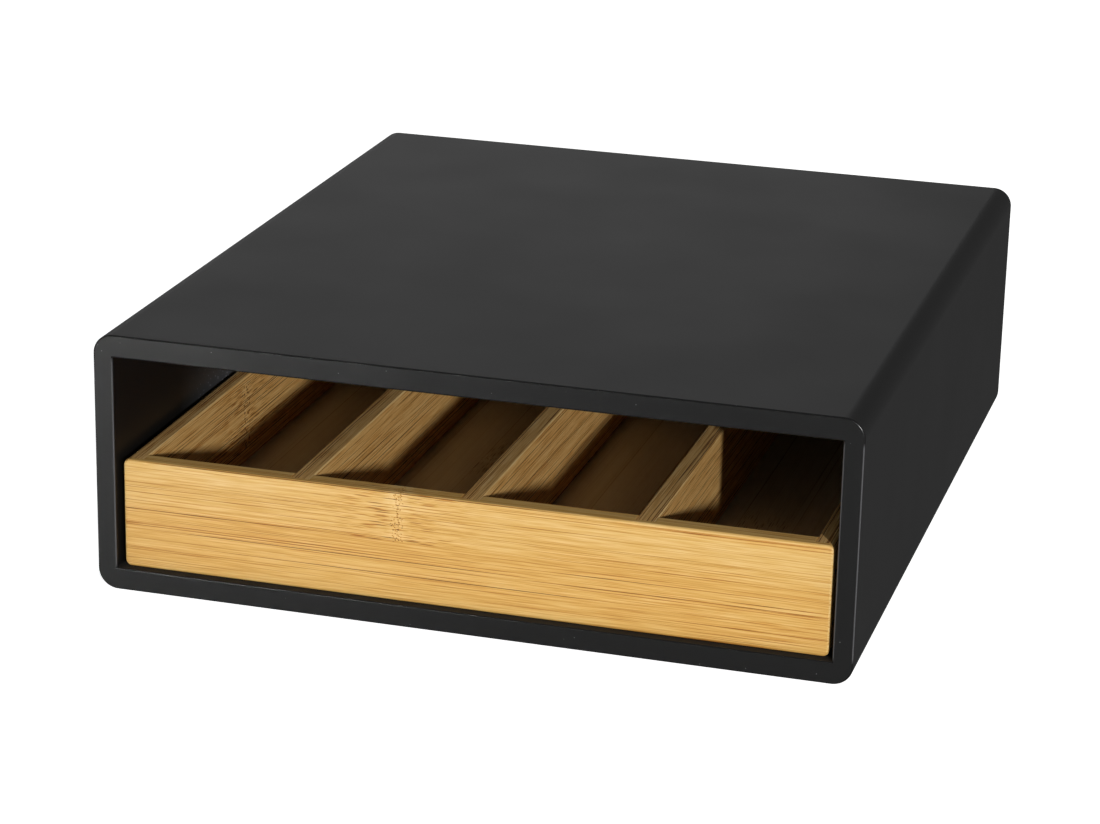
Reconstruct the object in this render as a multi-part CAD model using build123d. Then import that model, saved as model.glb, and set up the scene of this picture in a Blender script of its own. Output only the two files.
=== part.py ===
from build123d import *
import os

# A coffee capsule drawer. A casing of black lacquered fibreboard, open at the front, holds a low
# bamboo drawer that slides on the casing's floor. Three dividers part the drawer into four
# lengthwise compartments. A coffee machine can stand on top.
# Millimetres: X is the width, the front faces -Y, and Z is up. The origin is the centre of the
# footprint, on the surface that the feet stand on.

# Casing
casing_width = 300.0
casing_depth = 340.0
casing_height = 104.0
top_thickness = 9.0
bottom_thickness = 9.0
side_thickness = 8.0
corner_radius = 8.0
casing_arris = 0.7

# Back panel, let into a rebate round the rear edge of the casing
back_thickness = 5.0
back_lap = 4.0
back_play = 0.2
back_arris = 0.4

# Dowels that join the side panels to the top and bottom panels
dowel_diameter = 4.0
dowel_length = 16.0
dowel_chamfer = 0.5
dowel_cover = 4.0
dowel_play = 0.05
dowel_end_play = 0.5
dowel_end_distance = 35.0
dowels_per_joint = 4

# Feet
foot_diameter = 12.0
foot_height = 2.0
foot_edge_radius = 0.6
foot_inset = 20.0

# Drawer
drawer_height = 44.0
drawer_side_clearance = 2.0
drawer_front_recess = 3.5
drawer_back_gap = 0.3
drawer_edge_radius = 2.5
drawer_end_arris = 1.0
board_arris = 0.6
end_board_thickness = 8.0
end_board_lip = 2.5
side_board_thickness = 7.5
divider_thickness = 7.5
divider_count = 3
divider_play = 0.05

# Drawer floor, held in a groove round the four boards
floor_thickness = 4.0
floor_rise = 3.0
floor_groove_depth = 3.5
floor_play = 0.2

# Brads: thin nails with flat heads
brad_diameter = 1.2
brad_head_diameter = 2.4
brad_head_height = 0.5
brad_play = 0.05
brad_tip_play = 0.3
back_brad_length = 18.0
back_brads_per_long_edge = 4
back_brads_per_short_edge = 2
back_brad_end_distance = 30.0
corner_brad_length = 18.0
corner_brads_per_corner = 2
corner_brad_edge_distance = 12.0
divider_brad_length = 16.0
brads_per_divider = 4
divider_brad_end_distance = 30.0

# How far a cutter runs past the face that it opens
overrun = 1.0

# Faces of the casing
casing_side = casing_width / 2
casing_front = -casing_depth / 2
casing_rear = casing_depth / 2
casing_base = foot_height
casing_crown = casing_base + casing_height
bay_side = casing_side - side_thickness
bay_base = casing_base + bottom_thickness
bay_crown = casing_crown - top_thickness
bay_rear = casing_rear - back_thickness

# Faces of the drawer
drawer_side = bay_side - drawer_side_clearance
drawer_front = casing_front + drawer_front_recess
drawer_rear = bay_rear - drawer_back_gap
drawer_base = bay_base
drawer_crown = drawer_base + drawer_height
inner_side = drawer_side - side_board_thickness
inner_front = drawer_front + end_board_thickness
inner_rear = drawer_rear - end_board_thickness
housed_front = drawer_front + end_board_lip
housed_rear = drawer_rear - end_board_lip
floor_base = drawer_base + floor_rise
floor_top = floor_base + floor_thickness
compartment_width = (2 * inner_side - divider_count * divider_thickness) / (divider_count + 1)


def block(corner, opposite):
    """A box between two opposite corners."""
    size = [abs(b - a) for a, b in zip(corner, opposite)]
    centre = [(a + b) / 2 for a, b in zip(corner, opposite)]
    return Pos(*centre) * Box(*size)


def spread(low, high, count):
    """Places from low to high, evenly spaced, both ends included. A single one is in the middle."""
    if count == 1:
        return [(low + high) / 2]
    return [low + (high - low) * i / (count - 1) for i in range(count)]


def cut(shape, cutters):
    """The shape less all the cutters."""
    return shape - Compound(children=cutters)


def hanging_cylinder(diameter, height):
    """A cylinder whose upper end lies on the XY plane."""
    return Cylinder(diameter / 2, height, align=(Align.CENTER, Align.CENTER, Align.MAX))


def brad(length):
    """A brad that points down, with the top of its head on the XY plane."""
    head = hanging_cylinder(brad_head_diameter, brad_head_height)
    return head + hanging_cylinder(brad_diameter, length)


def brad_hole(length):
    """The hole of a brad, a little wider and deeper than the brad."""
    head = hanging_cylinder(brad_head_diameter + 2 * brad_play, brad_head_height)
    return head + hanging_cylinder(brad_diameter + 2 * brad_play, length + brad_tip_play)


def brads(places, length):
    """A brad at each place."""
    return Compound(children=[place * brad(length) for place in places])


def brad_holes(places, length):
    """The hole of a brad at each place."""
    return [place * brad_hole(length) for place in places]


def back_space(play):
    """The space of the back panel, smaller by the play on each edge."""
    reach = back_lap - play
    return block(
        (-bay_side - reach, bay_rear, bay_base - reach),
        (bay_side + reach, casing_rear, bay_crown + reach),
    )


def back_brad_places():
    """Where the brads enter the back panel's margin, driven towards the front."""
    side = bay_side + back_lap / 2
    low, high = bay_base - back_lap / 2, bay_crown + back_lap / 2
    end = back_brad_end_distance
    xs = spread(end - bay_side, bay_side - end, back_brads_per_long_edge)
    zs = spread(bay_base + end, bay_crown - end, back_brads_per_short_edge)
    points = [(x, z) for x in xs for z in (low, high)] + [(x, z) for z in zs for x in (-side, side)]
    return [Pos(x, casing_rear, z) * Rot(-90, 0, 0) for x, z in points]


def dowel_spans(end_play):
    """Each dowel's axis and ends, as x, y, lowest z and highest z, longer by the play at each end."""
    axis = casing_side - side_thickness / 2
    ys = spread(casing_front + dowel_end_distance, casing_rear - dowel_end_distance, dowels_per_joint)
    inset = dowel_cover + dowel_end_play
    spans = [
        (casing_base + inset - end_play, casing_base + inset + dowel_length + end_play),
        (casing_crown - inset - dowel_length - end_play, casing_crown - inset + end_play),
    ]
    return [(x, y, bottom, top) for x in (-axis, axis) for y in ys for bottom, top in spans]


def dowel_holes():
    """The holes of the dowels, a little wider and longer than the dowels."""
    diameter = dowel_diameter + 2 * dowel_play
    spans = dowel_spans(dowel_end_play)
    return [Pos(x, y, top) * hanging_cylinder(diameter, top - bottom) for x, y, bottom, top in spans]


def corner_dowels():
    """Glued wooden dowels with chamfered ends."""
    dowel = hanging_cylinder(dowel_diameter, dowel_length)
    dowel = chamfer(dowel.edges().filter_by(GeomType.CIRCLE), dowel_chamfer)
    return Compound(children=[Pos(x, y, top) * dowel for x, y, bottom, top in dowel_spans(0)])


def casing_shell():
    """The four walls in one, with round corners, eased ends and the rebate for the back panel."""
    shell = block((-casing_side, casing_front, casing_base), (casing_side, casing_rear, casing_crown))
    shell = fillet(shell.edges().filter_by(Axis.Y), corner_radius)
    shell -= block(
        (-bay_side, casing_front - overrun, bay_base),
        (bay_side, casing_rear + overrun, bay_crown),
    )
    shell = fillet(shell.faces().sort_by(Axis.Y)[0].edges(), casing_arris)
    shell = fillet(shell.faces().sort_by(Axis.Y)[-1].outer_wire().edges(), casing_arris)
    return shell - back_space(0)


def casing_panels():
    """The four walls, parted at their joints: the sides stand between the top and the bottom."""
    shell = cut(casing_shell(), dowel_holes() + brad_holes(back_brad_places(), back_brad_length))
    return {
        "top_panel": shell & block(
            (-casing_side, casing_front, bay_crown), (casing_side, casing_rear, casing_crown)
        ),
        "bottom_panel": shell & block(
            (-casing_side, casing_front, casing_base), (casing_side, casing_rear, bay_base)
        ),
        "left_side_panel": shell & block(
            (-casing_side, casing_front, bay_base), (-bay_side, casing_rear, bay_crown)
        ),
        "right_side_panel": shell & block(
            (bay_side, casing_front, bay_base), (casing_side, casing_rear, bay_crown)
        ),
    }


def back_panel():
    """A thin panel, flush with the rear of the casing."""
    panel = back_space(back_play)
    panel = fillet(panel.faces().sort_by(Axis.Y)[-1].edges(), back_arris)
    return cut(panel, brad_holes(back_brad_places(), back_brad_length))


def foot(x, y):
    """A rubber pad stuck under the casing."""
    pad = Pos(x, y, foot_height) * hanging_cylinder(foot_diameter, foot_height)
    return fillet(pad.edges().filter_by(GeomType.CIRCLE).sort_by(Axis.Z)[0], foot_edge_radius)


def feet():
    """A foot near each corner."""
    right, rear = casing_side - foot_inset, casing_rear - foot_inset
    return {
        "foot_front_left": foot(-right, -rear),
        "foot_front_right": foot(right, -rear),
        "foot_rear_left": foot(-right, rear),
        "foot_rear_right": foot(right, rear),
    }


def drawer_envelope():
    """The outside of the assembled drawer, with round long edges and eased ends."""
    body = block((-drawer_side, drawer_front, drawer_base), (drawer_side, drawer_rear, drawer_crown))
    body = fillet(body.edges().filter_by(Axis.Y), drawer_edge_radius)
    body = fillet(body.faces().sort_by(Axis.Y)[0].edges(), drawer_end_arris)
    return fillet(body.faces().sort_by(Axis.Y)[-1].edges(), drawer_end_arris)


def divider_middles():
    """The middles of the dividers across the width."""
    pitch = compartment_width + divider_thickness
    outermost = pitch * (divider_count - 1) / 2
    return spread(-outermost, outermost, divider_count)


def corner_brad_places():
    """Where the brads enter the side boards, driven into the ends of the front and back boards."""
    ys = [(inner_front + housed_front) / 2, (inner_rear + housed_rear) / 2]
    end = corner_brad_edge_distance
    zs = spread(drawer_base + end, drawer_crown - end, corner_brads_per_corner)
    return [Pos(side * drawer_side, y, z) * Rot(0, side * 90, 0) for side in (-1, 1) for y in ys for z in zs]


def divider_brad_places():
    """Where the brads enter the floor from below, driven up into the dividers."""
    end = divider_brad_end_distance
    ys = spread(inner_front + end, inner_rear - end, brads_per_divider)
    return [Pos(x, y, floor_base) * Rot(180, 0, 0) for x in divider_middles() for y in ys]


def end_board(outer, housed, inner):
    """A front or back board, from its outer to its inner face, with housings as deep as housed."""
    board = block((-drawer_side, outer, drawer_base), (drawer_side, inner, drawer_crown))
    inner_top_edge = board.edges().filter_by(Axis.X).sort_by_distance((0, inner, drawer_crown))[0]
    board = fillet(inner_top_edge, board_arris) & drawer_envelope()
    mouth = inner + overrun if inner > housed else inner - overrun
    groove_side = inner_side + floor_groove_depth
    groove_end = inner - floor_groove_depth if inner > housed else inner + floor_groove_depth
    cutters = [block((-groove_side, groove_end, floor_base), (groove_side, mouth, floor_top))]
    for side in (-1, 1):
        cutters.append(block(
            (side * inner_side, housed, drawer_base - overrun),
            (side * (drawer_side + overrun), mouth, drawer_crown + overrun),
        ))
    half_slot = divider_thickness / 2 + divider_play
    for x in divider_middles():
        cutters.append(block(
            (x - half_slot, housed, floor_top),
            (x + half_slot, mouth, drawer_crown + overrun),
        ))
    return cut(board, cutters + brad_holes(corner_brad_places(), corner_brad_length))


def side_board(side):
    """The left or right board of the drawer, for a side of -1 or 1."""
    board = block(
        (side * inner_side, housed_front, drawer_base),
        (side * drawer_side, housed_rear, drawer_crown),
    )
    inner_top = (side * inner_side, 0, drawer_crown)
    inner_top_edge = board.edges().filter_by(Axis.Y).sort_by_distance(inner_top)[0]
    board = fillet(inner_top_edge, board_arris) & drawer_envelope()
    groove = block(
        (side * (inner_side - overrun), housed_front - overrun, floor_base),
        (side * (inner_side + floor_groove_depth), housed_rear + overrun, floor_top),
    )
    return cut(board, [groove] + brad_holes(corner_brad_places(), corner_brad_length))


def divider(x):
    """A divider that stands on the floor, with its ends in the front and back boards."""
    half = divider_thickness / 2
    board = block((x - half, housed_front, floor_top), (x + half, housed_rear, drawer_crown))
    board = fillet(board.edges().filter_by(Axis.Y).sort_by(Axis.Z)[-2:], board_arris)
    return cut(board, brad_holes(divider_brad_places(), divider_brad_length))


def drawer_floor():
    """A thin board with its edges in the groove, a little narrower and shorter than the groove."""
    reach = floor_groove_depth - floor_play
    board = block(
        (-inner_side - reach, inner_front - reach, floor_base),
        (inner_side + reach, inner_rear + reach, floor_top),
    )
    return cut(board, brad_holes(divider_brad_places(), divider_brad_length))


def drawer_boards():
    """All the bamboo boards of the drawer."""
    boards = {
        "drawer_front_board": end_board(drawer_front, housed_front, inner_front),
        "drawer_back_board": end_board(drawer_rear, housed_rear, inner_rear),
        "drawer_left_side": side_board(-1),
        "drawer_right_side": side_board(1),
        "drawer_floor": drawer_floor(),
    }
    for number, x in enumerate(divider_middles(), start=1):
        boards[f"drawer_divider_{number}"] = divider(x)
    return boards


nodes = {
    **casing_panels(),
    "back_panel": back_panel(),
    "corner_dowels": corner_dowels(),
    "back_panel_brads": brads(back_brad_places(), back_brad_length),
    **feet(),
    **drawer_boards(),
    "drawer_corner_brads": brads(corner_brad_places(), corner_brad_length),
    "drawer_divider_brads": brads(divider_brad_places(), divider_brad_length),
}
os.makedirs("parts", exist_ok=True)
for name, shape in nodes.items():
    export_step(shape, f"parts/{name}.step")
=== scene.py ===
import bmesh
import bpy
from math import atan2, cos, pi, radians, sin
from mathutils import Matrix, Vector


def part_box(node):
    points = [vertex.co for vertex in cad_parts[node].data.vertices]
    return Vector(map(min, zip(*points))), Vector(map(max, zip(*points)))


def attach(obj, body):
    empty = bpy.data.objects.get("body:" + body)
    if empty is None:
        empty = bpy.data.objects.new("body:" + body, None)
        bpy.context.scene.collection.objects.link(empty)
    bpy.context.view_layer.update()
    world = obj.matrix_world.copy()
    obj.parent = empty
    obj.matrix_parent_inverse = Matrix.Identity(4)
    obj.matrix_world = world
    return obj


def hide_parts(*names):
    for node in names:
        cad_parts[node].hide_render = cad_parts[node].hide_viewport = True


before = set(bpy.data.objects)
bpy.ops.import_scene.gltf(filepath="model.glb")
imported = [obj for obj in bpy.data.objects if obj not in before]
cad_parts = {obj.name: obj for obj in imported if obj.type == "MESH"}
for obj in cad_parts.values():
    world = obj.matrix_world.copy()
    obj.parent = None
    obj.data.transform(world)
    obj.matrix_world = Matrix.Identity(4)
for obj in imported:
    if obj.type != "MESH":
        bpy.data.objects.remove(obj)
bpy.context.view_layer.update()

# The view
# A long lens looks down on the box from the front right, held a little askew. The camera turns about
# the middle of the casing's lower front edge, and is then shifted sideways and up.
mm = 0.001
view_azimuth = radians(15.93)
view_elevation = radians(18.86)
view_tilt = radians(1.27)
view_shift = Vector((32.8 * mm, 84.8 * mm, 1247.4 * mm))
view_lens = 107.5
turning_point = Vector((0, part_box("bottom_panel")[0].y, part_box("bottom_panel")[0].z))

bpy.ops.object.camera_add()
camera = bpy.context.object
camera.data.lens = view_lens
camera.data.sensor_width = 36
camera.data.clip_end = 50
camera.matrix_world = (
    Matrix.Translation(turning_point)
    @ Matrix.Rotation(view_azimuth, 4, "Z")
    @ Matrix.Rotation(pi / 2 - view_elevation, 4, "X")
    @ Matrix.Rotation(view_tilt, 4, "Z")
    @ Matrix.Translation(view_shift)
)
bpy.context.scene.camera = camera
bpy.context.scene.view_settings.view_transform = "Standard"


# The studio
# The box stands on a light table, so its surroundings come out white. A small lamp low at the front
# right reaches in under the casing's top. Weak lights at the front left draw a sheen on the lacquer
# and lighten the shade, and a wide one stands behind.
def linear(code):
    """The linear colour of an sRGB hex code."""
    parts = [int(code[i:i + 2], 16) / 255 for i in (1, 3, 5)]
    return [c / 12.92 if c <= 0.04045 else ((c + 0.055) / 1.055) ** 2.4 for c in parts] + [1]


def add_node(tree, kind, inputs=None, **settings):
    """Adds a node with its settings. An input takes a number or colour, or a link from a socket."""
    node = tree.nodes.new(kind)
    for name, value in settings.items():
        setattr(node, name, value)
    for name, value in (inputs or {}).items():
        if isinstance(value, bpy.types.NodeSocket):
            tree.links.new(value, node.inputs[name])
        else:
            node.inputs[name].default_value = value
    return node


def lamp(name, place, aim, width, height, power, shape="RECTANGLE", beam=180):
    """A lamp of a given size in metres that stands at a place and points at its aim. The beam is the
    angle in degrees that it shines into."""
    place, aim = Vector(place), Vector(aim)
    turn = (aim - place).to_track_quat("-Z", "Y").to_euler()
    bpy.ops.object.light_add(type="AREA", location=place, rotation=turn)
    light = bpy.context.object
    light.name = name
    light.data.shape = shape
    light.data.size = width
    light.data.size_y = height
    light.data.energy = power
    light.data.spread = radians(beam)
    light.visible_camera = False
    return light


lamp(
    "key_lamp", place=(1.57, -2.44, 0.71), aim=(0, -0.1, 0.05),
    width=0.09, height=0.18, power=46.4, shape="ELLIPSE",
)
lamp(
    "rear_light", place=(-0.9, 2.2, 0.7), aim=(0, 0, 0.05),
    width=1.6, height=0.6, power=2.2,
)
sheen_light = lamp(
    "left_light", place=(-0.6, -1.75, 0.06), aim=(-0.24, -0.17, 0.12),
    width=0.2, height=0.08, power=0.115, beam=18,
)
sheen_light.visible_diffuse = False
lamp(
    "fill_light", place=(-0.6, -1.75, 0.06), aim=(-0.1, -0.17, 0.11),
    width=0.2, height=0.08, power=0.05, beam=26,
)

# The room is white to the camera, dim to what it lights and dimmer still in what mirrors it.
seen_room, lighting_room, mirrored_room = 1.0, 0.21, 0.14
bpy.context.scene.world = bpy.data.worlds.new("studio")
studio = bpy.context.scene.world
studio.use_nodes = True
sky = studio.node_tree.nodes["Background"]
sky.inputs["Color"].default_value = (1, 1, 1, 1)
ray = add_node(studio.node_tree, "ShaderNodeLightPath").outputs
room = add_node(studio.node_tree, "ShaderNodeMapRange", {
    0: ray["Is Glossy Ray"], 3: lighting_room, 4: mirrored_room,
})
brightness = add_node(studio.node_tree, "ShaderNodeMapRange", {
    0: ray["Is Camera Ray"], 3: room.outputs["Result"], 4: seen_room,
})
studio.node_tree.links.new(brightness.outputs["Result"], sky.inputs["Strength"])

seen_table, lighting_table = 0.97, 0.2
bpy.ops.mesh.primitive_plane_add(size=9)
floor = bpy.context.object
floor.name = "studio_floor"
floor.visible_glossy = False
opal = bpy.data.materials.new("white opal acrylic of a light table")
opal.use_nodes = True
sheet = opal.node_tree.nodes["Principled BSDF"]
sheet.inputs["Base Color"].default_value = linear("#f4f4f2")
sheet.inputs["Roughness"].default_value = 0.9
sheet.inputs["Emission Color"].default_value = (1, 1, 1, 1)
ray = add_node(opal.node_tree, "ShaderNodeLightPath").outputs
glow = add_node(opal.node_tree, "ShaderNodeMapRange", {
    0: ray["Is Camera Ray"], 3: lighting_table, 4: seen_table,
})
opal.node_tree.links.new(glow.outputs["Result"], sheet.inputs["Emission Strength"])
floor.data.materials.append(opal)


# Casing walls
# Four walls of fibreboard, butted and dowelled at the corners, with the long edges rounded over.
# Filled, sanded and sprayed satin black, so that the joints don't show.
casing_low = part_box("bottom_panel")[0]
casing_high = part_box("top_panel")[1]
bay_low = Vector((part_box("left_side_panel")[1].x, casing_low.y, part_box("bottom_panel")[1].z))
bay_high = Vector((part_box("right_side_panel")[0].x, casing_high.y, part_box("top_panel")[0].z))
corner_radius = 8 * mm
corner_segments = 12
casing_arris = 0.7 * mm
arris_segments = 4
round_angle = radians(40)
rebate_play = 0.2 * mm
overrun = 5 * mm
dowel_radius = 2 * mm
dowel_length = 16 * mm
dowel_play = 0.05 * mm
dowel_end_play = 0.5 * mm
dowels_per_joint = 4
head_radius = 1.2 * mm
shank_radius = 0.6 * mm
brad_play = 0.05 * mm
back_brad_corner_distance = 30 * mm


def hold(piece):
    """Makes the piece the only one selected, and the active one."""
    bpy.ops.object.select_all(action="DESELECT")
    piece.select_set(True)
    bpy.context.view_layer.objects.active = piece


def pick(piece, kind, wanted):
    """Goes into edit mode with the wanted faces or edges of the piece selected."""
    hold(piece)
    bpy.ops.object.mode_set(mode="EDIT")
    bpy.ops.mesh.select_mode(type=kind)
    bpy.ops.mesh.select_all(action="DESELECT")
    mesh = bmesh.from_edit_mesh(piece.data)
    for part in mesh.faces if kind == "FACE" else mesh.edges:
        part.select_set(wanted(part))
    bmesh.update_edit_mesh(piece.data)


def block(name, low, high):
    """A box between two corners."""
    bpy.ops.object.select_all(action="DESELECT")
    bpy.ops.mesh.primitive_cube_add(size=1, location=(low + high) / 2, scale=high - low)
    piece = bpy.context.object
    piece.name = piece.data.name = name
    bpy.ops.object.transform_apply(location=True, rotation=True, scale=True)
    return piece


def rod(name, radius, start, end, sides=24):
    """A round rod from a start to an end."""
    run = end - start
    bpy.ops.object.select_all(action="DESELECT")
    bpy.ops.mesh.primitive_cylinder_add(
        vertices=sides, radius=radius, depth=run.length,
        location=(start + end) / 2, rotation=run.to_track_quat("Z", "Y").to_euler(),
    )
    piece = bpy.context.object
    piece.name = piece.data.name = name
    bpy.ops.object.transform_apply(location=True, rotation=True, scale=True)
    return piece


def round_over(piece, radius, segments, *lines):
    """Rounds the edges on each line. A line is where planes meet, given as axis and coordinate."""
    def wanted(edge):
        return any(
            all(abs(end.co[axis] - level) < 0.001 * mm for end in edge.verts for axis, level in line.items())
            for line in lines
        )
    pick(piece, "EDGE", wanted)
    bpy.ops.mesh.bevel(offset=radius, segments=segments, affect="EDGES", clamp_overlap=False)
    bpy.ops.object.mode_set(mode="OBJECT")


def carve(piece, tool, operation="DIFFERENCE"):
    """Cuts the piece with a closed shape, and clears that shape away."""
    hold(piece)
    change = piece.modifiers.new("carve", "BOOLEAN")
    change.operation = operation
    change.solver = "EXACT"
    change.object = tool
    bpy.ops.object.modifier_apply(modifier=change.name)
    bpy.data.objects.remove(tool)


def drill(piece, radius, starts, run):
    """Bores round holes of one run from several starts."""
    bits = [rod("bit", radius, start, start + run) for start in starts]
    hold(bits[0])
    for bit in bits:
        bit.select_set(True)
    bpy.ops.object.join()
    carve(piece, bits[0])


def spread(low, high, count):
    """Places from low to high, evenly spaced, both ends included."""
    return [low + (high - low) * i / (count - 1) for i in range(count)]


def dress(piece, material):
    """Gives the piece its material, with round edges shaded smooth and flat faces flat."""
    piece.data.materials.clear()
    piece.data.materials.append(material)
    hold(piece)
    bpy.ops.object.shade_smooth_by_angle(angle=round_angle)
    flat = piece.modifiers.new("flat faces", "WEIGHTED_NORMAL")
    flat.keep_sharp = True
    bpy.ops.object.modifier_apply(modifier=flat.name)


def flared_bay(flare, steps):
    """The space inside the walls, with its mouth flared so that the front edges come out round."""
    behind = Vector((0, overrun, 0))
    mouth = Vector((0, flare, 0))
    tool = block("bay", bay_low + mouth, bay_high + behind)
    middle = (bay_low + bay_high) / 2
    half = (bay_high - bay_low) / 2
    pick(tool, "FACE", lambda face: face.normal.y < -0.9)
    depth, widening = 0.0, 0.0
    for step in range(1, steps + 2):
        angle = min(step / steps, 1) * pi / 2
        new_depth = flare * sin(angle) if step <= steps else 2 * flare
        new_widening = flare * (1 - cos(angle))
        bpy.ops.mesh.extrude_region_move(
            TRANSFORM_OT_translate={"value": (0, depth - new_depth, 0)}
        )
        bpy.ops.transform.resize(
            value=(
                (half.x + new_widening) / (half.x + widening),
                1,
                (half.z + new_widening) / (half.z + widening),
            ),
            center_override=(middle.x, 0, middle.z),
        )
        depth, widening = new_depth, new_widening
    bpy.ops.object.mode_set(mode="OBJECT")
    return tool


def begin_material(name):
    """A new material, its node tree, and the place on the piece that its patterns follow."""
    material = bpy.data.materials.new(name)
    material.use_nodes = True
    tree = material.node_tree
    return material, tree, add_node(tree, "ShaderNodeTexCoord").outputs["Object"]


def end_material(tree, colour, gloss, relief):
    """Gives the surface its colour, its gloss and its fine relief."""
    surface = tree.nodes["Principled BSDF"].inputs
    for name, socket in (("Base Color", colour), ("Roughness", gloss), ("Normal", relief)):
        tree.links.new(socket, surface[name])


def satin_lacquer():
    """Sprayed black acrylic lacquer, rubbed down between coats: a deep charcoal with a soft sheen and
    the faint dimples of sprayed paint. The cut front edges soak it up, so they are grainy and hold a
    few specks of dust. Their arrises are polished by the rubbing, and on the upright ones a painted
    highlight, a paler grey line, stands in for their shine. The walls inside aren't rubbed and keep
    their gloss, but for the floor under the drawer."""
    material, tree, place = begin_material("satin black lacquer on fibreboard")
    # Roughness where the lacquer is rubbed down, polished, left as sprayed, and dulled by the drawer.
    rubbed, polished, sprayed, dull = (0.48, 0.51), 0.27, 0.36, 0.9
    apart = add_node(tree, "ShaderNodeSeparateXYZ", {"Vector": place})
    # Sprayed paint dries in dimples about 1.5 mm across.
    dimples = add_node(tree, "ShaderNodeTexNoise", {"Vector": place, "Scale": 1 / (1.5 * mm), "Detail": 1})
    # Rubbing leaves patches about 60 mm across that shine a very little more or less.
    patches = add_node(tree, "ShaderNodeTexNoise", {"Vector": place, "Scale": 1 / (60 * mm), "Detail": 2})
    sheen = add_node(tree, "ShaderNodeMapRange", {
        0: patches.outputs["Fac"], 1: 0.3, 2: 0.7, 3: rubbed[0], 4: rubbed[1],
    })
    # The arrises begin right behind the flat front face.
    cut_edge = add_node(tree, "ShaderNodeMapRange", {
        0: apart.outputs["Y"], 1: casing_low.y + 2 * casing_arris, 2: casing_low.y + casing_arris,
    })
    behind_face = add_node(tree, "ShaderNodeMapRange", {
        0: apart.outputs["Y"], 1: casing_low.y + 0.01 * mm, 2: casing_low.y + 0.03 * mm,
    })
    rounding = add_node(tree, "ShaderNodeMapRange", {
        0: apart.outputs["Y"], 1: casing_low.y + casing_arris / 2, 2: casing_low.y + casing_arris / 3,
    })
    # Distances from the middle of the opening, across and up, tell the upright arrises and the inside.
    middle, half = (bay_low + bay_high) / 2, (bay_high - bay_low) / 2
    aside = add_node(tree, "ShaderNodeMath", {0: apart.outputs["X"]}, operation="ABSOLUTE")
    above = add_node(tree, "ShaderNodeMath", {0: apart.outputs["Z"], 1: middle.z}, operation="SUBTRACT")
    above = add_node(tree, "ShaderNodeMath", {0: above.outputs[0]}, operation="ABSOLUTE")
    upright = add_node(tree, "ShaderNodeMapRange", {0: above.outputs[0], 1: half.z, 2: half.z - 2 * mm})
    polish = add_node(tree, "ShaderNodeMath", {
        0: rounding.outputs["Result"], 1: behind_face.outputs["Result"],
    }, operation="MULTIPLY")
    # Painted highlight: the polished upright arrises get a paler grey in place of their shine.
    painted_highlight_line = add_node(tree, "ShaderNodeMath", {
        0: upright.outputs["Result"], 1: polish.outputs[0],
    }, operation="MULTIPLY")
    gloss = add_node(tree, "ShaderNodeMix", {0: polish.outputs[0], 2: sheen.outputs["Result"], 3: polished})
    between = add_node(tree, "ShaderNodeMapRange", {
        0: aside.outputs[0], 1: half.x + 0.2 * mm, 2: half.x + 0.1 * mm,
    })
    for level, outside, inside in (
        (above.outputs[0], half.z + 0.2 * mm, half.z + 0.1 * mm),
        (apart.outputs["Y"], casing_low.y + casing_arris / 2, casing_low.y + casing_arris),
    ):
        within = add_node(tree, "ShaderNodeMapRange", {0: level, 1: outside, 2: inside})
        between = add_node(tree, "ShaderNodeMath", {
            0: between.outputs[0], 1: within.outputs[0],
        }, operation="MULTIPLY")
    gloss = add_node(tree, "ShaderNodeMix", {0: between.outputs[0], 2: gloss.outputs[0], 3: sprayed})
    # The drawer has rubbed the floor that it slides on dull.
    on_floor = add_node(tree, "ShaderNodeMapRange", {
        0: apart.outputs["Z"], 1: bay_low.z + 0.3 * mm, 2: bay_low.z + 0.1 * mm,
    })
    dulled = add_node(tree, "ShaderNodeMath", {
        0: between.outputs[0], 1: on_floor.outputs[0],
    }, operation="MULTIPLY")
    gloss = add_node(tree, "ShaderNodeMix", {0: dulled.outputs[0], 2: gloss.outputs[0], 3: dull})
    # Specks of dust are about 0.5 mm across and 15 mm apart on the cut edges.
    specks = add_node(tree, "ShaderNodeTexVoronoi", {"Vector": place, "Scale": 1 / (5 * mm)})
    speck = add_node(tree, "ShaderNodeMapRange", {0: specks.outputs["Distance"], 1: 0.055, 2: 0.025})
    speck = add_node(tree, "ShaderNodeMath", {
        0: speck.outputs["Result"], 1: cut_edge.outputs["Result"],
    }, operation="MULTIPLY")
    paint = add_node(tree, "ShaderNodeMix", {
        0: speck.outputs[0], 6: linear("#141414"), 7: linear("#7a7a7c"),
    }, data_type="RGBA")
    # The paler grey here is the painted highlight line on the upright arrises.
    paint_with_highlight_line = add_node(tree, "ShaderNodeMix", {
        0: painted_highlight_line.outputs[0], 6: paint.outputs[2], 7: linear("#5a5a5c"),
    }, data_type="RGBA")
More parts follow.
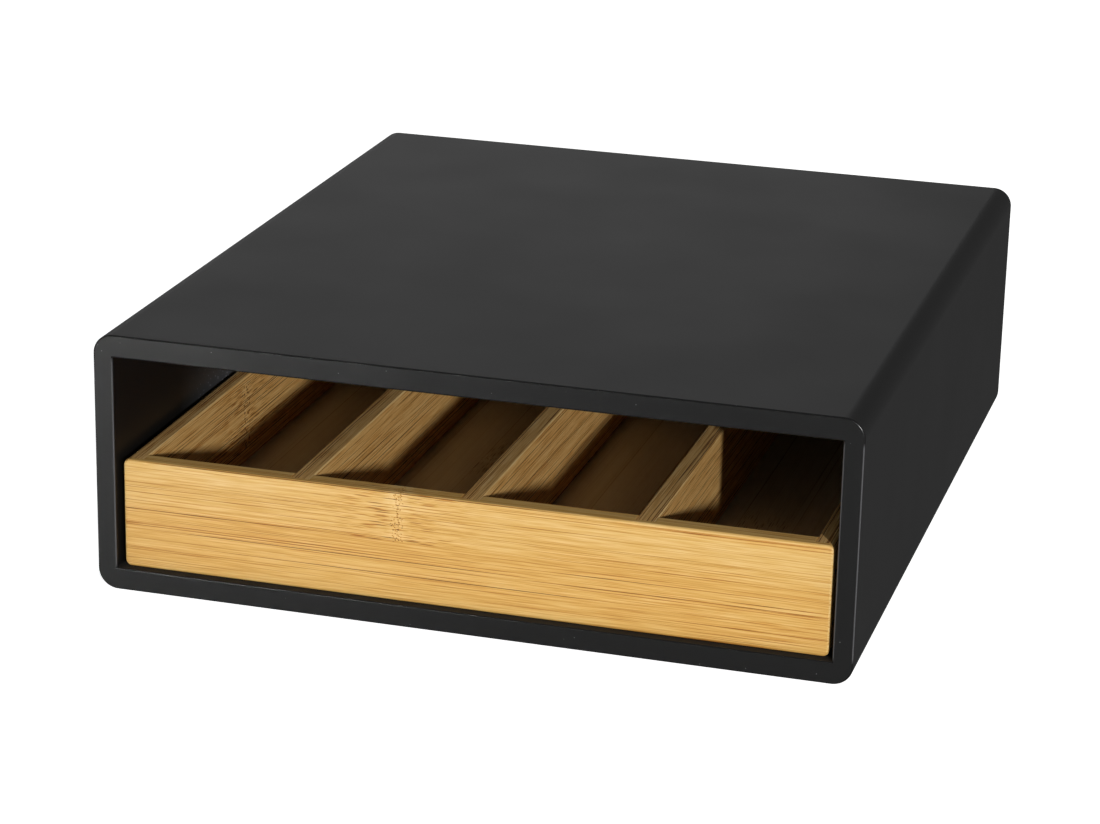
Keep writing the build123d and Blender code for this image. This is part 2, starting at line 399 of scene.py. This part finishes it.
    # Fine dust has settled on the left wall inside, above the drawer.
    haze = between
    drawer_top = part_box("drawer_front_board")[1].z
    for axis, outside, inside in (
        ("X", 0.3 * mm - half.x, 0.1 * mm - half.x),
        ("Y", casing_low.y + 66 * mm, casing_low.y + 130 * mm),
        ("Z", drawer_top + 20 * mm, drawer_top),
    ):
        within = add_node(tree, "ShaderNodeMapRange", {0: apart.outputs[axis], 1: outside, 2: inside})
        haze = add_node(tree, "ShaderNodeMath", {
            0: haze.outputs[0], 1: within.outputs[0],
        }, operation="MULTIPLY")
    grains = add_node(tree, "ShaderNodeTexVoronoi", {"Vector": place, "Scale": 1 / (2 * mm)})
    grain = add_node(tree, "ShaderNodeMapRange", {0: grains.outputs["Distance"], 1: 0.2, 2: 0.1, 3: 0.15})
    dust = add_node(tree, "ShaderNodeMath", {0: haze.outputs[0], 1: grain.outputs[0]}, operation="MULTIPLY")
    dusty = add_node(tree, "ShaderNodeMix", {
        0: dust.outputs[0], 6: paint_with_highlight_line.outputs[2], 7: linear("#c8ccd2"),
    }, data_type="RGBA")
    relief = add_node(tree, "ShaderNodeBump", {
        "Height": dimples.outputs["Fac"], "Strength": 0.12, "Distance": 0.05 * mm,
    })
    # The grain of the cut fibres is about 0.5 mm across, drawn at 1 mm so that it shows.
    fibres = add_node(tree, "ShaderNodeTexNoise", {"Vector": place, "Scale": 1 / (1 * mm), "Detail": 2})
    fibres = add_node(tree, "ShaderNodeMath", {
        0: fibres.outputs["Fac"], 1: cut_edge.outputs["Result"],
    }, operation="MULTIPLY")
    relief = add_node(tree, "ShaderNodeBump", {
        "Height": fibres.outputs[0], "Normal": relief.outputs["Normal"],
        "Strength": 0.35, "Distance": 0.1 * mm,
    })
    end_material(tree, dusty.outputs[2], gloss.outputs[0], relief.outputs["Normal"])
    return material


lacquer = satin_lacquer()
shell = block("shell", casing_low, casing_high)
long_edges = [{0: x, 2: z} for x in (casing_low.x, casing_high.x) for z in (casing_low.z, casing_high.z)]
round_over(shell, corner_radius, corner_segments, *long_edges)
round_over(shell, casing_arris, arris_segments, {1: casing_low.y}, {1: casing_high.y})
carve(shell, flared_bay(casing_arris, arris_segments))
rebate_low, rebate_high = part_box("back_panel")
play = Vector((rebate_play, 0, rebate_play))
carve(shell, block("rebate", rebate_low - play, rebate_high + play + Vector((0, overrun, 0))))

dowels_low, dowels_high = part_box("corner_dowels")
dowel_feet = [
    Vector((x, y, z))
    for x in (dowels_low.x + dowel_radius, dowels_high.x - dowel_radius)
    for y in spread(dowels_low.y + dowel_radius, dowels_high.y - dowel_radius, dowels_per_joint)
    for z in (dowels_low.z, dowels_high.z - dowel_length)
]
end_play = Vector((0, 0, dowel_end_play))
dowel_run = Vector((0, 0, dowel_length))
drill(shell, dowel_radius + dowel_play, [foot - end_play for foot in dowel_feet], dowel_run + 2 * end_play)

back_brads_low, back_brads_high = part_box("back_panel_brads")
brads_left, brads_right = back_brads_low.x + head_radius, back_brads_high.x - head_radius
brads_bottom, brads_top = back_brads_low.z + head_radius, back_brads_high.z - head_radius
brad_xs = spread(bay_low.x + back_brad_corner_distance, bay_high.x - back_brad_corner_distance, 4)
brad_zs = spread(bay_low.z + back_brad_corner_distance, bay_high.z - back_brad_corner_distance, 2)
back_brad_places = [Vector((x, casing_high.y, z)) for x in brad_xs for z in (brads_bottom, brads_top)]
back_brad_places += [Vector((x, casing_high.y, z)) for x in (brads_left, brads_right) for z in brad_zs]
back_brad_run = Vector((0, back_brads_low.y - back_brads_high.y, 0))
drill(shell, shank_radius + brad_play, back_brad_places, back_brad_run)

for node in ("top_panel", "bottom_panel", "left_side_panel", "right_side_panel"):
    wall = shell.copy()
    wall.data = shell.data.copy()
    bpy.context.collection.objects.link(wall)
    carve(wall, block("room", *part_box(node)), "INTERSECT")
    wall.name = wall.data.name = node.replace("_panel", "_wall")
    dress(wall, lacquer)
    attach(wall, "casing")
    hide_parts(node)
bpy.data.objects.remove(shell)


# Corner dowels
# Sixteen dowels of raw beech, with pressed flutes that let the glue out and chamfered ends. They
# stand upright in the walls' joints.
dowel_sides = 24
flute_depth = 0.2 * mm
dowel_chamfer = 0.5 * mm


def raw_beech():
    """Raw beech: pale pinkish tan with fine upright grain and short brown flecks of the rays."""
    material, tree, place = begin_material("raw turned beech")
    # Grain about 0.5 mm wide and 12 mm long.
    stretch = add_node(tree, "ShaderNodeMapping", {
        "Vector": place, "Scale": (1 / (0.5 * mm), 1 / (0.5 * mm), 1 / (12 * mm)),
    })
    grain = add_node(tree, "ShaderNodeTexNoise", {"Vector": stretch.outputs["Vector"], "Scale": 1})
    # Flecks about 0.3 mm wide and 2 mm long.
    stretch = add_node(tree, "ShaderNodeMapping", {
        "Vector": place, "Scale": (1 / (0.6 * mm), 1 / (0.6 * mm), 1 / (3 * mm)),
    })
    rays = add_node(tree, "ShaderNodeTexVoronoi", {"Vector": stretch.outputs["Vector"], "Scale": 1})
    fleck = add_node(tree, "ShaderNodeMapRange", {0: rays.outputs["Distance"], 1: 0.35, 2: 0.2, 4: 0.6})
    wood = add_node(tree, "ShaderNodeMix", {
        0: grain.outputs["Fac"], 6: linear("#d8b58f"), 7: linear("#bd9468"),
    }, data_type="RGBA")
    flecked = add_node(tree, "ShaderNodeMix", {
        0: fleck.outputs["Result"], 6: wood.outputs[2], 7: linear("#8f6540"),
    }, data_type="RGBA")
    fuzz = add_node(tree, "ShaderNodeMapRange", {0: grain.outputs["Fac"], 3: 0.65, 4: 0.85})
    relief = add_node(tree, "ShaderNodeBump", {
        "Height": grain.outputs["Fac"], "Strength": 0.4, "Distance": 0.1 * mm,
    })
    end_material(tree, flecked.outputs[2], fuzz.outputs["Result"], relief.outputs["Normal"])
    return material


def set_out(pattern, name, places):
    """Copies the pattern to each place, joins the copies into one piece, and clears the pattern away."""
    copies = []
    for place in places:
        copy = pattern.copy()
        copy.data = pattern.data.copy()
        copy.data.transform(place)
        bpy.context.collection.objects.link(copy)
        copies.append(copy)
    bpy.data.objects.remove(pattern)
    hold(copies[0])
    for copy in copies:
        copy.select_set(True)
    bpy.ops.object.join()
    copies[0].name = copies[0].data.name = name
    return copies[0]


def in_a_flute(edge):
    """Tells every second one of a dowel's long edges."""
    ends = [corner.co for corner in edge.verts]
    step = 2 * pi / dowel_sides
    return abs(ends[0].z - ends[1].z) > dowel_length / 2 and round(atan2(ends[0].y, ends[0].x) / step) % 2


dowel = rod("dowel", dowel_radius, Vector((0, 0, 0)), dowel_run, dowel_sides)
pick(dowel, "EDGE", in_a_flute)
inwards = 1 - flute_depth / dowel_radius
bpy.ops.transform.resize(value=(inwards, inwards, 1), center_override=(0, 0, 0))
bpy.ops.object.mode_set(mode="OBJECT")
round_over(dowel, dowel_chamfer, 1, {2: 0}, {2: dowel_length})
dowels = set_out(dowel, "beech_dowels", [Matrix.Translation(foot) for foot in dowel_feet])
dress(dowels, raw_beech())
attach(dowels, "casing")
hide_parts("corner_dowels")


# Back panel
# A thin panel of the same fibreboard, let into a rebate all round, flush with the rear, and sprayed
# with the walls. Its holes for the brads are sunk for their heads.
back_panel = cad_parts["back_panel"]
back_panel.data.materials.clear()
back_panel.data.materials.append(lacquer)


# Brads of the back panel
# Twelve steel brads, cut and headed from drawn wire, driven through the panel's margin into the
# walls, with their heads flush.
head_height = 0.5 * mm
head_edge_radius = 0.15 * mm
punch_mark_depth = 0.08 * mm
point_length = 2 * mm
point_taper = 0.15


def bright_wire():
    """Bright drawn steel: a cool grey metal with fine marks, a little duller where it was struck."""
    material, tree, place = begin_material("bright drawn steel wire")
    tree.nodes["Principled BSDF"].inputs["Metallic"].default_value = 1
    # Marks about 0.2 mm across, and duller patches about 1 mm across.
    marks = add_node(tree, "ShaderNodeTexNoise", {"Vector": place, "Scale": 1 / (0.2 * mm), "Detail": 3})
    patches = add_node(tree, "ShaderNodeTexNoise", {"Vector": place, "Scale": 1 / (1 * mm), "Detail": 2})
    steel = add_node(tree, "ShaderNodeMix", {
        0: patches.outputs["Fac"], 6: linear("#c6c7c9"), 7: linear("#8f9093"),
    }, data_type="RGBA")
    dull = add_node(tree, "ShaderNodeMapRange", {
        0: patches.outputs["Fac"], 1: 0.3, 2: 0.7, 3: 0.25, 4: 0.45,
    })
    relief = add_node(tree, "ShaderNodeBump", {
        "Height": marks.outputs["Fac"], "Strength": 0.25, "Distance": 0.03 * mm,
    })
    end_material(tree, steel.outputs[2], dull.outputs["Result"], relief.outputs["Normal"])
    return material


def brad(length):
    """A brad that points down, with the middle of its head's top at the origin."""
    piece = rod("brad", head_radius, Vector((0, 0, -head_height)), Vector((0, 0, 0)))
    pick(piece, "FACE", lambda face: face.normal.z < -0.9)
    bpy.ops.mesh.inset(thickness=head_radius - shank_radius)
    for run, taper in ((length - head_height - point_length, 1), (point_length, point_taper)):
        bpy.ops.mesh.extrude_region_move(TRANSFORM_OT_translate={"value": (0, 0, -run)})
        bpy.ops.transform.resize(value=(taper, taper, 1), center_override=(0, 0, 0))
    bpy.ops.object.mode_set(mode="OBJECT")
    round_over(piece, head_edge_radius, 3, {2: 0})
    pick(piece, "FACE", lambda face: face.normal.z > 0.99)
    bpy.ops.mesh.inset(thickness=head_radius / 2)
    bpy.ops.transform.translate(value=(0, 0, -punch_mark_depth))
    bpy.ops.object.mode_set(mode="OBJECT")
    return piece


def driven(place, run):
    """The place of a brad that is driven in along a run, as a matrix."""
    return Matrix.Translation(place) @ run.to_track_quat("-Z", "Y").to_matrix().to_4x4()


steel_wire = bright_wire()
back_brads = set_out(
    brad(back_brad_run.length), "back_brads", [driven(place, back_brad_run) for place in back_brad_places]
)
dress(back_brads, steel_wire)
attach(back_brads, "casing")
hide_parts("back_panel_brads")


# Feet
# Four moulded rubber pads, stuck under the casing near its corners. Each has a round lower edge and
# a shallow dish in its middle, so that it grips a smooth worktop.
foot_sides = 48
foot_edge_radius = 0.6 * mm
dish_margin = 2.5 * mm
dish_depth = 0.4 * mm


def matt_rubber():
    """Moulded black rubber: matt and finely grained, with a bloom of grey dust in patches."""
    material, tree, place = begin_material("matt black rubber")
    # The mould's grain is about 0.4 mm across, and the dust lies in patches about 5 mm across.
    grain = add_node(tree, "ShaderNodeTexNoise", {"Vector": place, "Scale": 1 / (0.4 * mm), "Detail": 2})
    dust = add_node(tree, "ShaderNodeTexNoise", {"Vector": place, "Scale": 1 / (5 * mm), "Detail": 4})
    bloom = add_node(tree, "ShaderNodeMapRange", {0: dust.outputs["Fac"], 1: 0.45, 2: 0.75})
    rubber = add_node(tree, "ShaderNodeMix", {
        0: bloom.outputs["Result"], 6: linear("#1b1b1b"), 7: linear("#3a3937"),
    }, data_type="RGBA")
    dull = add_node(tree, "ShaderNodeMapRange", {0: grain.outputs["Fac"], 3: 0.65, 4: 0.85})
    relief = add_node(tree, "ShaderNodeBump", {
        "Height": grain.outputs["Fac"], "Strength": 0.5, "Distance": 0.08 * mm,
    })
    end_material(tree, rubber.outputs[2], dull.outputs["Result"], relief.outputs["Normal"])
    return material


rubber_look = matt_rubber()
for node in ("foot_front_left", "foot_front_right", "foot_rear_left", "foot_rear_right"):
    low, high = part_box(node)
    half = Vector((high.x - low.x, high.y - low.y, 0)) / 2
    foot = rod("rubber_" + node, half.x, low + half, high - half, foot_sides)
    round_over(foot, foot_edge_radius, arris_segments, {2: low.z})
    pick(foot, "FACE", lambda face: face.normal.z < -0.99)
    for margin, depth in ((dish_margin, 0), (dish_depth, dish_depth / 2), (dish_depth, dish_depth / 2)):
        bpy.ops.mesh.inset(thickness=margin)
        bpy.ops.transform.translate(value=(0, 0, depth))
    bpy.ops.object.mode_set(mode="OBJECT")
    dress(foot, rubber_look)
    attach(foot, "casing")
    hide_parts(node)


# Front and back boards of the drawer
# Laminated bamboo: strips of the cane's wall glued edge to edge, planed, rounded over and varnished.
# Housings at the ends take the side boards, slots the dividers, and a groove the floor.
end_board_radius = 2.5 * mm
end_board_segments = 6
end_arris = 1.0 * mm
board_arris = 0.6 * mm
board_arris_segments = 3
slot_play = 0.05 * mm
groove_play = 0.2 * mm
corner_brad_length = 18 * mm
brad_tip_play = 0.3 * mm
dividers = ["drawer_divider_1", "drawer_divider_2", "drawer_divider_3"]
side_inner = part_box("drawer_right_side")[0].x
floor_low, floor_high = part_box("drawer_floor")
corner_brads_low, corner_brads_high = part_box("drawer_corner_brads")
corner_brad_places = [
    Vector((x, y, z))
    for x in (corner_brads_low.x, corner_brads_high.x)
    for y in (corner_brads_low.y + head_radius, corner_brads_high.y - head_radius)
    for z in (corner_brads_low.z + head_radius, corner_brads_high.z - head_radius)
]


def bamboo(name, turn, spacing, contrast, codes, joints=(), culm_nodes=(), highlight_rims=()):
    """Varnished bamboo: pale gold, with thin reddish bundles of fibre, glue lines where the strips
    meet, and short dashes and dark pores round a culm node. The turn lays the grain along the board,
    and the spacing is that of the bundles. Joints are places across the board. A culm node is its
    place along the grain, the middle of its strip, half the strip's width and the size of its pores,
    all in mm. A rim with a painted highlight, a pale line along a rounded edge, is its axis and the
    places where it starts outside and ends inside."""
    material, tree, place = begin_material(name)
    # The fibres drift across the board by up to 2 mm over its length.
    drift_width = 2
    grain = add_node(tree, "ShaderNodeMapping", {
        "Vector": place, "Rotation": turn, "Scale": (1 / mm, 1 / mm, 1 / mm),
        "Location": (0, -drift_width / 2, -drift_width / 2),
    }).outputs["Vector"]
    stretch = add_node(tree, "ShaderNodeMapping", {"Vector": grain, "Scale": (1 / 220, 1 / 90, 1 / 90)})
    drift = add_node(tree, "ShaderNodeTexNoise", {
        "Vector": stretch.outputs["Vector"], "Scale": 1, "Detail": 1,
    })
    lay = add_node(tree, "ShaderNodeVectorMath", {
        0: drift.outputs["Color"], 1: (0, drift_width, drift_width), 2: grain,
    }, operation="MULTIPLY_ADD").outputs["Vector"]
    across = add_node(tree, "ShaderNodeSeparateXYZ", {"Vector": lay}).outputs["Y"]

    # Each pattern runs from 0 to 1 and darkens the tone by its weight. They are clouds, fibres, close
    # fine bundles, and strong single ones, long and short, each with its length and width in mm.
    patterns = []
    for kind, output, length, width, start, full, weight in (
        ("ShaderNodeTexNoise", "Fac", 240, 5, 0.35, 0.65, 0.08),
        ("ShaderNodeTexNoise", "Fac", 16, 0.42, 0.35, 0.65, 0.3 * contrast),
        ("ShaderNodeTexNoise", "Fac", 400, 0.55 * spacing, 0.54, 0.66, 0.5 * contrast),
        ("ShaderNodeTexVoronoi", "Distance", 500, spacing, 0.24, 0.12, 0.9 * contrast),
        ("ShaderNodeTexVoronoi", "Distance", 130, 0.7 * spacing, 0.28, 0.14, 0.6 * contrast),
    ):
        stretch = add_node(tree, "ShaderNodeMapping", {
            "Vector": lay, "Scale": (1 / length, 1 / width, 1 / width),
        })
        texture = add_node(tree, kind, {"Vector": stretch.outputs["Vector"], "Scale": 1})
        pattern = add_node(tree, "ShaderNodeMapRange", {0: texture.outputs[output], 1: start, 2: full})
        if output == "Distance":
            shade = add_node(tree, "ShaderNodeSeparateColor", {"Color": texture.outputs["Color"]})
            pattern = add_node(tree, "ShaderNodeMath", {
                0: pattern.outputs[0], 1: shade.outputs["Red"],
            }, operation="MULTIPLY")
        patterns.append((pattern.outputs[0], weight))
    # Glue lines, with the strips in turn a little darker and lighter.
    strip_contrast = 0.08
    for number, joint in enumerate(joints):
        beyond = add_node(tree, "ShaderNodeMapRange", {0: across, 1: joint - 0.1, 2: joint + 0.1})
        patterns.append((beyond.outputs[0], strip_contrast if number % 2 else -strip_contrast))
        off = add_node(tree, "ShaderNodeMath", {0: across, 1: joint}, operation="SUBTRACT")
        off = add_node(tree, "ShaderNodeMath", {0: off.outputs[0]}, operation="ABSOLUTE")
        seam = add_node(tree, "ShaderNodeMapRange", {0: off.outputs[0], 1: 0.4, 2: 0.1})
        faded = add_node(tree, "ShaderNodeMapRange", {0: drift.outputs["Fac"], 1: 0.3, 2: 0.5})
        seam = add_node(tree, "ShaderNodeMath", {
            0: seam.outputs[0], 1: faded.outputs[0],
        }, operation="MULTIPLY")
        patterns.append((seam.outputs[0], 0.33))
    # Round a culm node the bundles rise and dip, so that they show as dashes. In its middle lies a
    # ragged row of pores in a pale band, which strays by up to 7 mm along the grain.
    straying = 7
    for middle, strip_middle, half_strip, pore in culm_nodes:
        ragged = add_node(tree, "ShaderNodeTexNoise", {"Vector": lay, "Scale": 0.35})
        near = add_node(tree, "ShaderNodeVectorMath", {
            0: ragged.outputs["Color"], 1: (straying, 0, 0), 2: lay,
        }, operation="MULTIPLY_ADD")
        near = add_node(tree, "ShaderNodeVectorMath", {
            0: near.outputs["Vector"], 1: (middle + straying / 2, strip_middle, 0),
        }, operation="SUBTRACT")
        near = add_node(tree, "ShaderNodeVectorMath", {0: near.outputs["Vector"]}, operation="ABSOLUTE")
        near = add_node(tree, "ShaderNodeSeparateXYZ", {"Vector": near.outputs["Vector"]})
        strip = add_node(tree, "ShaderNodeMapRange", {
            0: near.outputs["Y"], 1: half_strip + 0.5, 2: half_strip,
        })
        band = add_node(tree, "ShaderNodeMapRange", {0: near.outputs["X"], 1: 6, 2: 2})
        band = add_node(tree, "ShaderNodeMath", {
            0: band.outputs[0], 1: strip.outputs[0],
        }, operation="MULTIPLY")
        patterns.append((band.outputs[0], -0.14))
        for length, width, start, full, end, reach, weight in (
            (10, 0.6, 0.42, 0.2, 36, 12, 0.5),
            (pore, 0.8 * pore, 0.46, 0.26, 2.4 * pore, 1.3 * pore, 0.6),
        ):
            stretch = add_node(tree, "ShaderNodeMapping", {
                "Vector": lay, "Scale": (1 / length, 1 / width, 1 / width),
            })
            spots = add_node(tree, "ShaderNodeTexVoronoi", {"Vector": stretch.outputs["Vector"], "Scale": 1})
            spot = add_node(tree, "ShaderNodeMapRange", {0: spots.outputs["Distance"], 1: start, 2: full})
            zone = add_node(tree, "ShaderNodeMapRange", {0: near.outputs["X"], 1: end, 2: reach})
            held = add_node(tree, "ShaderNodeMath", {
                0: zone.outputs[0], 1: strip.outputs[0],
            }, operation="MULTIPLY")
            held = add_node(tree, "ShaderNodeMath", {
                0: spot.outputs[0], 1: held.outputs[0],
            }, operation="MULTIPLY")
            patterns.append((held.outputs[0], weight))
    # Painted highlight on the rims, palest a little inside their edge.
    for axis, outside, inside in highlight_rims:
        level = add_node(tree, "ShaderNodeSeparateXYZ", {"Vector": place}).outputs[axis]
        width = inside - outside
        begun = add_node(tree, "ShaderNodeMapRange", {
            0: level, 1: outside + 0.02 * width, 2: outside + 0.15 * width,
        })
        ended = add_node(tree, "ShaderNodeMapRange", {0: level, 1: inside, 2: inside - 0.4 * width})
        # This mask marks where the rim's painted highlight lightens the tone.
        rubbed = add_node(tree, "ShaderNodeMath", {
            0: begun.outputs[0], 1: ended.outputs[0],
        }, operation="MULTIPLY")
        patterns.append((rubbed.outputs[0], -0.18))
    tone = 0.1
    for pattern, weight in patterns:
        tone = add_node(tree, "ShaderNodeMath", {
            0: pattern, 1: weight, 2: tone,
        }, operation="MULTIPLY_ADD").outputs[0]

    colours = add_node(tree, "ShaderNodeValToRGB", {"Fac": tone})
    scale = colours.color_ramp.elements
    for number, code in enumerate(codes):
        spot = number / (len(codes) - 1)
        stop = scale.new(spot) if 0 < spot < 1 else scale[0 if spot == 0 else -1]
        stop.color = linear(code)
    # The varnish is a little duller on the dark lines, and hands have rubbed it dull on the flat top
    # edges.
    varnished, handled = (0.4, 0.55), 0.85
    gloss = add_node(tree, "ShaderNodeMapRange", {0: tone, 1: 0, 2: 1, 3: varnished[0], 4: varnished[1]})
    height = add_node(tree, "ShaderNodeSeparateXYZ", {"Vector": place}).outputs["Z"]
    on_top = add_node(tree, "ShaderNodeMapRange", {
        0: height, 1: drawer_top - 0.1 * mm, 2: drawer_top - 0.05 * mm,
    })
    gloss = add_node(tree, "ShaderNodeMix", {
        0: on_top.outputs["Result"], 2: gloss.outputs["Result"], 3: handled,
    })
    relief = add_node(tree, "ShaderNodeBump", {
        "Height": tone, "Strength": 0.3, "Distance": 0.06 * mm,
    }, invert=True)
    end_material(tree, colours.outputs["Color"], gloss.outputs[0], relief.outputs["Normal"])
    return material


end_board_codes = ("#fcd792", "#efbf69", "#dd9f46", "#c07424", "#7c400f")
upright_across_x = (-pi / 2, 0, 0)
drawer_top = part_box("drawer_front_board")[1].z
drawer_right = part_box("drawer_front_board")[1].x
# Pale rims on the rounded ends and along the top edges are a painted highlight of the varnish.
end_highlight_rims = [("X", side * drawer_right, side * (drawer_right - end_arris)) for side in (-1, 1)]
top_highlight_rim = ("Z", drawer_top, drawer_top - board_arris)
for node, outward, look in (
    ("drawer_front_board", -1, bamboo(
        "bamboo front board", upright_across_x, 0.85, 0.85, end_board_codes,
        joints=[35.3], culm_nodes=[(-28, 45.2, 9.8, 0.9)], highlight_rims=end_highlight_rims,
    )),
    ("drawer_back_board", 1, bamboo(
        "bamboo back board", upright_across_x, 0.85, 0.85, end_board_codes,
        joints=[31], culm_nodes=[(64, 21, 10, 0.9)], highlight_rims=end_highlight_rims,
    )),
):
    low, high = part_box(node)
    outer, inner = (low.y, high.y) if outward < 0 else (high.y, low.y)
    side_low, side_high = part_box("drawer_left_side")
    housed = side_low.y if outward < 0 else side_high.y
    board = block(node.replace("drawer_", "bamboo_"), low, high)
    corners = [{0: x, 2: z} for x in (low.x, high.x) for z in (low.z, high.z)]
    round_over(board, board_arris, board_arris_segments, {1: inner, 2: high.z})
    round_over(board, end_board_radius, end_board_segments, *corners)
    round_over(board, end_arris, arris_segments, {1: outer})
    near, far = sorted((housed, inner - outward * overrun))
    for side in (-1, 1):
        left, right = sorted((side * side_inner, side * (high.x + overrun)))
        carve(board, block(
            "housing", Vector((left, near, low.z - overrun)), Vector((right, far, high.z + overrun))
        ))
    for divider in dividers:
        slot_low, slot_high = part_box(divider)
        carve(board, block(
            "slot",
            Vector((slot_low.x - slot_play, near, slot_low.z)),
            Vector((slot_high.x + slot_play, far, high.z + overrun)),
        ))
    groove_end = (floor_low.y if outward < 0 else floor_high.y) + outward * groove_play
    groove_side = floor_high.x + groove_play
    near, far = sorted((groove_end, inner - outward * overrun))
    carve(board, block(
        "groove", Vector((-groove_side, near, floor_low.z)), Vector((groove_side, far, floor_high.z))
    ))
    for side in (-1, 1):
        starts = [place for place in corner_brad_places if place.x * side > 0 and place.y * outward > 0]
        reach = Vector((-side * (corner_brad_length + brad_tip_play), 0, 0))
        drill(board, shank_radius + brad_play, starts, reach)
    dress(board, look)
    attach(board, "drawer")
    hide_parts(node)


# Side boards of the drawer
# Bamboo strips on edge, so that close dark fibres show on their faces. Each end stands in a housing
# of the front or back board and is nailed there from the side.
side_codes = ("#ffdd9c", "#f5c67c", "#e0a85c", "#b0712c", "#5e3010")
upright_along_y = (-pi / 2, -pi / 2, 0)
side_look = bamboo(
    "bamboo side boards", upright_along_y, 0.9, 1.15, side_codes,
    culm_nodes=[(-55, 38, 14, 2)], highlight_rims=[top_highlight_rim],
)
for node, side in (("drawer_left_side", -1), ("drawer_right_side", 1)):
    low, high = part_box(node)
    board = block(node.replace("drawer_", "bamboo_"), low, high)
    outer, inner = (low.x, high.x) if side < 0 else (high.x, low.x)
    corners = [{0: outer, 2: z} for z in (low.z, high.z)]
    round_over(board, board_arris, board_arris_segments, {0: inner, 2: high.z})
    round_over(board, end_board_radius, end_board_segments, *corners)
    left, right = sorted((side * (floor_high.x + groove_play), inner - side * overrun))
    carve(board, block(
        "groove",
        Vector((left, low.y - overrun, floor_low.z)),
        Vector((right, high.y + overrun, floor_high.z)),
    ))
    starts = [place for place in corner_brad_places if place.x * side > 0]
    drill(board, head_radius + brad_play, starts, Vector((-side * head_height, 0, 0)))
    drill(board, shank_radius + brad_play, starts, Vector((-side * corner_brad_length, 0, 0)))
    dress(board, side_look)
    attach(board, "drawer")
    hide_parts(node)


# Floor of the drawer
# A thin bamboo board of narrow strips, held in the grooves of the four boards, with holes from below
# for the dividers' brads.
floor_arris = 0.3 * mm
brads_per_divider = 4
divider_brad_length = 16 * mm
divider_brads_low, divider_brads_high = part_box("drawer_divider_brads")
divider_brad_places = [
    Vector(((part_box(divider)[0].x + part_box(divider)[1].x) / 2, y, floor_low.z))
    for divider in dividers
    for y in spread(divider_brads_low.y + head_radius, divider_brads_high.y - head_radius, brads_per_divider)
]
floor_look = bamboo(
    "bamboo drawer floor", (0, 0, -pi / 2), 1.1, 0.25,
    ("#e6d8bc", "#d6c4a2", "#c0aa84", "#967a56", "#624c34"),
    joints=range(-120, 130, 20), culm_nodes=[(-70, -90, 10, 0.9), (95, -30, 10, 0.9), (-20, 30, 10, 0.9)],
)
board = block("bamboo_floor", floor_low, floor_high)
round_over(board, floor_arris, 2, {2: floor_low.z}, {2: floor_high.z})
drill(board, head_radius + brad_play, divider_brad_places, Vector((0, 0, head_height)))
drill(board, shank_radius + brad_play, divider_brad_places, Vector((0, 0, divider_brad_length)))
dress(board, floor_look)
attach(board, "drawer")
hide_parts("drawer_floor")


# Dividers
# Three bamboo boards on edge, which stand on the floor, with their ends in slots of the front and
# back boards. The brads that hold them come up through the floor.
divider_look = bamboo(
    "bamboo dividers", upright_along_y, 0.9, 1.15, side_codes,
    culm_nodes=[(70, 36, 19, 2)], highlight_rims=[top_highlight_rim],
)
for node in dividers:
    low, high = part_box(node)
    board = block(node.replace("drawer_", "bamboo_"), low, high)
    round_over(board, board_arris, board_arris_segments, *[{0: x, 2: high.z} for x in (low.x, high.x)])
    starts = [place for place in divider_brad_places if low.x < place.x < high.x]
    drill(board, shank_radius + brad_play, starts, Vector((0, 0, divider_brad_length + brad_tip_play)))
    dress(board, divider_look)
    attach(board, "drawer")
    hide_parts(node)


# Brads of the drawer
# The same steel brads: eight through the side boards into the ends of the front and back boards, and
# twelve up through the floor into the dividers.
corner_brads = set_out(brad(corner_brad_length), "corner_brads", [
    driven(place, Vector((-place.x, 0, 0))) for place in corner_brad_places
])
divider_brads = set_out(brad(divider_brad_length), "divider_brads", [
    driven(place, Vector((0, 0, 1))) for place in divider_brad_places
])
for brads, node in ((corner_brads, "drawer_corner_brads"), (divider_brads, "drawer_divider_brads")):
    dress(brads, steel_wire)
    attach(brads, "drawer")
    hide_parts(node)
